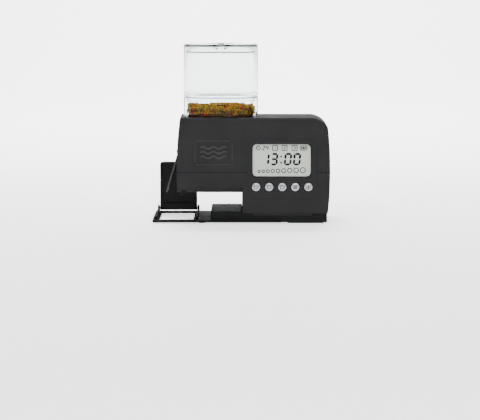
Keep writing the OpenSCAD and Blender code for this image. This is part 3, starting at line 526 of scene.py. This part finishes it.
class FEEDER_OT_food(bpy.types.Operator):
    """Fills the collar with loose granules round a core that runs down into the funnel."""
    bl_idname = "feeder.food"
    bl_label = "Make the food"

    def execute(self, context):
        sizes, colours = context.scene.feeder_sizes, context.scene.feeder_colours
        low, high = span("food_granules")
        collar_low, collar_high = span("hopper_collar")
        centre = (collar_high + collar_low)[:2] / 2
        half = (high - low)[:2] / 2
        shelf = span("upper_housing")[1][2] + 1.9 * MM
        radius = sizes.hopper_corner - sizes.hopper_wall - 0.3 * MM

        # food: dry extruded granules, matt, each in one of six shades of the four colours
        made, tree, shader, place = finish_material("food_granule")
        kind = add(tree, "ShaderNodeAttribute", attribute_name="grain_tint")
        speck = add(tree, "ShaderNodeTexNoise", {"Vector": place, "Scale": 1 / (0.6 * MM), "Detail": 3.0})
        ochre, olive, red, brown = [
            tuple(getattr(colours, "grain_" + n)) for n in ("ochre", "olive", "red", "brown")]
        body = ramp(tree, kind.outputs["Fac"], [
            (0.0, ochre), (0.30, shade(ochre, 1.25)), (0.44, olive), (0.66, red), (0.78, brown),
            (0.9, shade(ochre, 0.75))])
        tree.nodes[-1].color_ramp.interpolation = "CONSTANT"
        spread = add(tree, "ShaderNodeMapRange", {
            "Value": speck.outputs["Fac"], "To Min": 0.6, "To Max": 1.2})
        speckled = add(tree, "ShaderNodeVectorMath", {0: body, 1: spread.outputs[0]}, operation="MULTIPLY")
        tree.links.new(speckled.outputs[0], shader.inputs["Base Color"])
        shader.inputs["Roughness"].default_value = 0.85
        shader.inputs["Specular IOR Level"].default_value = 0.05
        relief = add(tree, "ShaderNodeBump", {
            "Height": speck.outputs["Fac"], "Strength": 0.5, "Distance": 0.15 * MM})
        tree.links.new(relief.outputs[0], shader.inputs["Normal"])

        # loose granules on a jittered lattice, kept where they are near a wall or the top
        draw = np.random.default_rng(7)
        step, layer = sizes.grain_spacing, sizes.grain_layer
        axes = [np.arange(-half[0], half[0], step), np.arange(-half[1], half[1], step),
                np.arange(0, sizes.food_depth + 2 * MM, step)]
        spots = np.stack(np.meshgrid(*axes, indexing="ij"), -1).reshape(-1, 3)
        spots = spots + draw.uniform(-0.4, 0.4, (1, 3)) * MM
        spots += draw.uniform(-0.3, 0.3, spots.shape) * step
        margin = 0.9 * MM
        corner = np.abs(spots[:, :2]) - (half - radius)
        edge = np.where((corner > 0).all(1), radius - np.linalg.norm(np.maximum(corner, 0), axis=1),
                        np.minimum(half[0] - np.abs(spots[:, 0]), half[1] - np.abs(spots[:, 1])))
        depth = sizes.food_depth + food_height(spots[:, 0], spots[:, 1]) - spots[:, 2]
        keep = (edge > margin) & (depth > 0) & (spots[:, 2] > 0.6 * MM) & ((edge < layer) | (depth < layer))
        spots = spots[keep]
        count = len(spots)
        unit, faces = spindle()
        scale = np.array([sizes.grain_length, sizes.grain_thickness, sizes.grain_thickness]) / 2
        scale = scale * draw.uniform(0.75, 1.1, (count, 1))
        scale = scale * np.stack(
            [draw.uniform(0.7, 1.15, count), np.ones(count), draw.uniform(0.75, 1, count)], -1)
        turn = np.linalg.qr(draw.normal(size=(count, 3, 3)))[0]
        turn[:, :, 0] *= np.sign(np.linalg.det(turn))[:, None]
        points = np.einsum("nij,nkj->nki", turn, unit[None] * scale[:, None]) + spots[:, None]
        points[..., :2] = np.clip(points[..., :2], -half + 0.15 * MM, half - 0.15 * MM)
        points[..., :2] += centre
        points[..., 2] = np.maximum(points[..., 2], 0.05 * MM) + shelf
        index = (np.arange(count)[:, None, None] * len(unit) + faces).reshape(-1, 3)
        grains = mesh_piece("granules", points.reshape(-1, 3), index, "feeder")
        tinted = grains.data.attributes.new("grain_tint", "FLOAT", "POINT")
        tinted.data.foreach_set("value", np.repeat(draw.random(count), len(unit)).astype(np.float32))

        # the core: the same food, packed, from the funnel's mouth to under the loose layer, in brown
        inset = layer - 0.9 * MM
        neck = span("hopper_collar")[0][2]
        top = shelf + sizes.food_depth - layer
        throat = (*(half - sizes.hopper_wall - 0.2 * MM), radius - sizes.hopper_wall)
        full = np.array([*half, radius]) - inset
        core = stack("food_core", "feeder", centre, [
            (low[2], half[0] - 2.7 * MM, 8.4 * MM, 2 * MM),
            (neck - 0.2 * MM, *throat), (shelf - 0.1 * MM, *throat),
            (shelf + 0.1 * MM, *full), (top, *full), (top + 0.6 * MM, *(full - 3 * MM))], 10)
        packed = core.data.attributes.new("grain_tint", "FLOAT", "POINT")
        brown_tint = 0.8
        packed.data.foreach_set("value", np.full(len(core.data.vertices), brown_tint, np.float32))
        put_on(made, grains, core)
        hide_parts("food_granules")
        return {"FINISHED"}


def disc(x, z, r, around=20):
    """A circle's outline, anticlockwise seen from the front."""
    t = np.arange(around) * 2 * math.pi / around
    return np.stack([x + r * np.cos(t), z + r * np.sin(t)], -1)


def arc_band(x, z, r, width, start, stop, steps=16):
    """Outline of a band along an arc: outer edge forwards, then inner edge back. Angles are in degrees."""
    t = np.radians(np.linspace(start, stop, steps))
    outer, inner = r + width / 2, r - width / 2
    return np.concatenate([
        np.stack([x + outer * np.cos(t), z + outer * np.sin(t)], -1),
        np.stack([x + inner * np.cos(t[::-1]), z + inner * np.sin(t[::-1])], -1)])


def bar(x0, z0, x1, z1, width):
    """Outline of a straight bar from one point to another."""
    along = np.array([x1 - x0, z1 - z0])
    side = np.array([-along[1], along[0]]) / np.linalg.norm(along) * width / 2
    a, b = np.array([x0, z0]), np.array([x1, z1])
    return np.stack([a - side, b - side, b + side, a + side])


def box_bars(left, base, right, top, width):
    """Outlines of the four bars along a rectangle's sides."""
    runs = ((left, base, right, base), (left, top, right, top),
            (left, base, left, top), (right, base, right, top))
    return [bar(*run, width) for run in runs]


SEGMENTS = {"0": "abcdef", "1": "bc", "2": "abged", "3": "abgcd", "4": "fgbc"}


def seven_segment(digit, x, z, width, height, stroke, lean=0.09):
    """Outlines of a slanted seven-segment digit whose lower left corner is (x, z).

    Each lit bar is a hexagon between two corners of a figure of eight, pulled back from both ends.
    """
    mid = height / 2
    s = stroke / 2
    left, right, top = s, width - s, height - s
    runs = {"a": (left, top, right, top), "g": (left, mid, right, mid), "d": (left, s, right, s),
            "f": (left, mid, left, top), "b": (right, mid, right, top),
            "e": (left, s, left, mid), "c": (right, s, right, mid)}
    made = []
    for key in SEGMENTS[digit]:
        x0, z0, x1, z1 = runs[key]
        a, b = np.array([x0, z0]), np.array([x1, z1])
        along = (b - a) / np.linalg.norm(b - a)
        side, tip = np.array([-along[1], along[0]]) * s, along * s
        cut = tip * 0.12
        a, b = a + cut, b - cut
        points = np.stack([a, a + tip - side, b - tip - side, b, b - tip + side, a + tip + side])
        points[:, 0] += points[:, 1] * lean
        made.append(points + [x, z])
    return made


class FEEDER_OT_display(bpy.types.Operator):
    """Draws the dark segments of the clock display on its module, behind the window."""
    bl_idname = "feeder.display"
    bl_label = "Make the display"

    def execute(self, context):
        sizes, colours = context.scene.feeder_sizes, context.scene.feeder_colours
        low = span("display_module")[0]
        # places of the marks are from here, a millimetre inside the module's lower left corner
        x, z = low[0] + 1 * MM, low[2] + 1 * MM
        w, h, s = sizes.digit_width, sizes.digit_height, sizes.segment
        base = z + 10.7 * MM
        marks = []
        for digit, at in (("1", 8.6), ("3", 17.1), ("0", 30.8), ("0", 39.8)):
            marks += seven_segment(digit, x + at * MM, base, w, h, s)
        for up in (0.22, 0.7):
            marks.append(disc(x + 28.3 * MM, base + h * up, 0.95 * MM, 12))
        # upper row: a feed mark, two small digits, three boxed meal numbers and a cell
        row = z + 25.7 * MM
        marks.append(arc_band(x + 5.8 * MM, row + 2.4 * MM, 1.9 * MM, 0.8 * MM, 30, 330))
        marks.append(disc(x + 7.6 * MM, row + 2.4 * MM, 0.6 * MM, 10))
        for digit, at in (("2", 9.6), ("4", 12.9)):
            marks += seven_segment(digit, x + at * MM, row, 2.7 * MM, 4.8 * MM, 0.85 * MM)
        for at, digit in ((19.8, "1"), (29.3, "2"), (39.2, "3")):
            left = x + at * MM
            marks += box_bars(left, row, x + (at + 5) * MM, row + 5 * MM, 0.7 * MM)
            marks += seven_segment(digit, left + 1.5 * MM, row + 0.9 * MM, 2.0 * MM, 3.2 * MM, 0.75 * MM)
        left, right = x + 47.6 * MM, x + 53.6 * MM
        marks += box_bars(left, row, right, row + 4.6 * MM, 0.5 * MM)
        for i in range(3):
            at = left + (1.2 + 1.6 * i) * MM
            marks.append(bar(at, row + 0.8 * MM, at, row + 3.8 * MM, 1.1 * MM))
        marks.append(bar(right + 0.5 * MM, row + 1.4 * MM, right + 0.5 * MM, row + 3.2 * MM, 0.7 * MM))
        # lower row: nine rings that grow with the meal's size
        for i in range(9):
            share = i / 8
            r = (1.1 + 1.45 * share) * MM
            at = x + (6.4 + 4.0 * i + 1.45 * i * share) * MM
            marks.append(arc_band(at, z + (4.6 + 1.4 * share) * MM, r, 0.85 * MM, 0, 359.9, 22))
        ink = moulded("lcd_ink", tuple(colours.ink), 0.8, 1.0, 0.0, spread=0.02, gloss=0.0)
        made = plates("lcd_marks", "feeder", marks, low[1] - 0.05 * MM, 0.04 * MM)
        put_on(ink, made)
        return {"FINISHED"}


def icon(kind, x, z, r):
    """Outlines of a plain mark for a button, within a circle of radius r at (x, z)."""
    w = r * 0.24
    if kind == "power":
        return [arc_band(x, z, r * 0.78, w, 125, 415), bar(x, z, x, z + r, w)]
    if kind == "select":
        return [arc_band(x, z, r * 0.75, w, 20, 160), arc_band(x, z, r * 0.75, w, 200, 340),
                np.array([[x + r, z], [x + r * 0.66, z + r * 0.5], [x + r * 0.3, z]]),
                np.array([[x - r, z], [x - r * 0.66, z - r * 0.5], [x - r * 0.3, z]])]
    if kind == "amount":
        return [arc_band(x, z, r * 0.82, w, 0, 359.9), bar(x, z, x, z + r * 0.6, w * 0.9),
                bar(x, z, x + r * 0.45, z, w * 0.9)]
    if kind == "set":
        rows = (-1, 0, 1)
        upright = [bar(x + i * r * 0.5, z - r * 0.8, x + i * r * 0.5, z + r * 0.8, w * 0.8) for i in rows]
        level = [bar(x - r * 0.8, z + i * r * 0.5, x + r * 0.8, z + i * r * 0.5, w * 0.8) for i in rows]
        return upright + level
    return [bar(x - r * 0.8, z, x + r * 0.8, z, w), bar(x, z - r * 0.8, x, z + r * 0.8, w),
            arc_band(x, z, r * 0.85, w * 0.8, 200, 340)]


class FEEDER_OT_buttons(bpy.types.Operator):
    """Makes the five domed push buttons with a plain mark on each."""
    bl_idname = "feeder.buttons"
    bl_label = "Make the buttons"

    def execute(self, context):
        sizes, colours = context.scene.feeder_sizes, context.scene.feeder_colours
        # ABS with a silver-white satin lacquer: soft highlights and a faint metal flake
        cap = moulded("lacquered_abs", tuple(colours.button), 0.3, 0.25, 0.05, spread=0.03, metallic=0.6)
        # painted shade: the stem and rim are near-black so that the gap round each cap reads dark
        dark = moulded("stem_abs", linear("#0C0C0C"), 0.6, 0.4, 0.0)
        mark = moulded("print_grey", linear("#1A1B1D"), 0.7, 0.4, 0.0, gloss=0.0)
        edge_r, crown, rim_thick, tail_r = 0.7 * MM, 0.6 * MM, 1.2 * MM, 1.6 * MM
        for kind in ("power", "select", "amount", "set", "manual"):
            node = kind + "_button"
            low, high = span(node)
            centre = [(low[0] + high[0]) / 2, 0, (low[2] + high[2]) / 2]
            rim = (high[0] - low[0]) / 2
            face = rim - 1.05 * MM
            front, back = low[1], high[1]
            # dome: its height falls with the square of the radius, then the edge is a quarter ellipse
            r = np.linspace(0.15, 1, 7) * (face - edge_r)
            dome = np.stack([r, front + crown * (r / face) ** 2], -1)
            t = np.linspace(0.2, 1, 5) * math.pi / 2
            edge = np.stack([face - edge_r + edge_r * np.sin(t), dome[-1, 1] + crown * (1 - np.cos(t))], -1)
            shoulder = front + 4.7 * MM
            deep = front + 2 * MM
            button = lathe(node + "_cap", node + "_cap", centre, [
                [0, front], *dome, *edge, [face, deep], [0, deep]])
            # the stem and its rim behind the panel are painted near-black as shade, and show as a dark ring
            # round the cap
            seat, slim = deep - 0.1 * MM, face - 0.2 * MM
            stem = lathe(node + "_stem", node + "_cap", centre, [
                [0, seat], [slim, seat], [slim, shoulder], [rim, shoulder], [rim, shoulder + rim_thick],
                [tail_r, shoulder + rim_thick], [tail_r, back], [0, back]])
            put_on(dark, stem)
            put_on(cap, button)
            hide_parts(node)
            outlines = icon(kind, centre[0], centre[2], sizes.icon_size / 2)
            print_mark = plates(node + "_mark", node + "_cap", outlines, front - 0.02 * MM, 0.14 * MM)
            put_on(mark, print_mark)
        return {"FINISHED"}


class FEEDER_OT_badge(bpy.types.Operator):
    """Fills the recessed field on the front with a plain relief of three waves."""
    bl_idname = "feeder.badge"
    bl_label = "Make the badge"

    def execute(self, context):
        front = span("upper_housing")[0][1]
        # painted highlight: the relief and bead are a shade paler and glossier than the housing
        relief = moulded("badge_abs", linear("#2A2A2B"), 0.35, 0.4, 0.05, gloss=0.2)
        s = np.linspace(0, 1, 40)
        # in mm: a wave's left end and length, the upper wave's height and the step down to the next
        wave_left, wave_run, wave_top, wave_step = -40.5, 26.5, 75.3, 4.7
        swing, half_width, cycles = 1.1 * MM, 0.75 * MM, 2.5
        waves = []
        for i in range(3):
            x = (wave_left + wave_run * s) * MM
            z = (wave_top - wave_step * i) * MM + swing * np.sin(s * cycles * 2 * math.pi)
            half = half_width * np.sqrt(np.clip(1 - (2 * s - 1) ** 8, 0.05, 1))
            waves.append(np.concatenate([np.stack([x, z - half], -1), np.stack([x, z + half], -1)[::-1]]))
        # a narrow bead just inside the field's edge, in the paler relief colour: it is painted highlight for
        # the field's edge
        left, right, base, top = -45.7 * MM, -8.8 * MM, 58.9 * MM, 82.1 * MM
        waves += box_bars(left, base, right, top, 0.5 * MM)
        made = plates("badge_waves", "feeder", waves, front + 0.2 * MM, 0.42 * MM)
        put_on(relief, made)
        return {"FINISHED"}


def area_light(name, place, target, size, power):
    """A square lamp that faces a point."""
    data = bpy.data.lights.new(name, "AREA")
    data.size, data.energy = size, power
    lamp = bpy.data.objects.new(name, data)
    lamp.location = place
    lamp.rotation_euler = (Vector(target) - Vector(place)).to_track_quat("-Z", "Y").to_euler()
    bpy.context.scene.collection.objects.link(lamp)


class FEEDER_OT_stage(bpy.types.Operator):
    """Makes the floor, the curved backdrop, the lamps and the camera."""
    bl_idname = "feeder.stage"
    bl_label = "Make the stage"

    def execute(self, context):
        scene, studio, colours = context.scene, context.scene.feeder_studio, context.scene.feeder_colours
        # floor and backdrop: a straight run, a quarter circle and a wall, carried along X
        bend, bend_y, reach = 0.6, 1.6, 3.0
        t = np.linspace(0, math.pi / 2, 24)
        y = np.concatenate([[-reach], bend_y + bend * np.sin(t), [bend_y + bend]])
        z = np.concatenate([[0], bend * (1 - np.cos(t)), [reach]])
        x = np.array([-reach, reach])
        n = len(y)
        points = np.stack([np.broadcast_to(v, (2, n)) for v in (x[:, None], y, z)], -1)
        faces = [[j, n + j, n + j + 1, j + 1] for j in range(n - 1)]
        data = bpy.data.meshes.new("floor")
        data.from_pydata(points.reshape(-1, 3).tolist(), [], faces)
        data.polygons.foreach_set("use_smooth", np.full(len(faces), True))
        floor = bpy.data.objects.new("floor", data)
        scene.collection.objects.link(floor)
        paper = moulded("studio_paper", tuple(colours.floor), 0.7, 2.0, 0.02, spread=0.01)
        # a light table: the paper glows evenly from below
        glow = paper.node_tree.nodes["Principled BSDF"]
        glow.inputs["Emission Color"].default_value = (1, 1, 1, 1)
        glow.inputs["Emission Strength"].default_value = studio.glow
        put_on(paper, floor)

        low, high = CAD_BOX
        middle = (low + high) / 2
        area_light("key", middle + Vector((-0.7, -0.9, 1.1)), middle, 0.9, studio.key)
        area_light("fill", middle + Vector((0.9, -1.0, 0.8)), middle, 1.0, studio.fill)
        area_light("top", middle + Vector((0, 0.2, 1.3)), middle, 1.2, studio.top)
        area_light("front", middle + Vector((0.15, -1.6, 0.55)), middle, 0.35, studio.fill)
        area_light("wall", Vector((0, 0.9, 1.6)), Vector((0, 2.2, 0.3)), 1.0, studio.wall)
        world = bpy.data.worlds.new("studio")
        world.use_nodes = True
        world.node_tree.nodes["Background"].inputs[0].default_value = (1, 1, 1, 1)
        world.node_tree.nodes["Background"].inputs[1].default_value = studio.haze
        scene.world = world

        camera = bpy.data.objects.new("camera", bpy.data.cameras.new("camera"))
        scene.collection.objects.link(camera)
        scene.camera = camera
        camera.data.lens = studio.lens
        camera.data.sensor_width = 36
        front = span("upper_housing")[0][1]
        camera_x, camera_z, aim_x, aim_z = 8 * MM, 241.4 * MM, -1 * MM, 13.4 * MM
        camera.location = (camera_x, front - studio.distance, camera_z)
        aim = Vector((aim_x, front, aim_z)) - camera.location
        camera.rotation_euler = aim.to_track_quat("-Z", "Y").to_euler()
        camera.data.clip_end = 50
        return {"FINISHED"}


class FEEDER_PT_panel(bpy.types.Panel):
    """Lists the feeder's sizes, colours and steps."""
    bl_idname = "FEEDER_PT_panel"
    bl_label = "Fish feeder"
    bl_space_type = "VIEW_3D"
    bl_region_type = "UI"
    bl_category = "Feeder"

    def draw(self, context):
        for group in (context.scene.feeder_sizes, context.scene.feeder_colours, context.scene.feeder_studio):
            box = self.layout.box()
            for name in group.__annotations__:
                box.prop(group, name)
        for operator in OPERATORS:
            self.layout.operator(operator.bl_idname)


OPERATORS = (FEEDER_OT_frame_finish, FEEDER_OT_hopper, FEEDER_OT_food, FEEDER_OT_display,
             FEEDER_OT_buttons, FEEDER_OT_badge, FEEDER_OT_stage)
CLASSES = (FeederSizes, FeederColours, StudioSettings, *OPERATORS, FEEDER_PT_panel)


def register():
    """Registers the classes and hangs the settings on the scene."""
    for cls in CLASSES:
        bpy.utils.register_class(cls)
    bpy.types.Scene.feeder_sizes = bpy.props.PointerProperty(type=FeederSizes)
    bpy.types.Scene.feeder_colours = bpy.props.PointerProperty(type=FeederColours)
    bpy.types.Scene.feeder_studio = bpy.props.PointerProperty(type=StudioSettings)


def unregister():
    """Takes the settings off the scene and unregisters the classes."""
    del bpy.types.Scene.feeder_sizes, bpy.types.Scene.feeder_colours, bpy.types.Scene.feeder_studio
    for cls in reversed(CLASSES):
        bpy.utils.unregister_class(cls)


def main():
    """Makes every piece in order."""
    register()
    for operator in OPERATORS:
        category, name = operator.bl_idname.split(".")
        getattr(getattr(bpy.ops, category), name)()


if __name__ == "__main__":
    main()
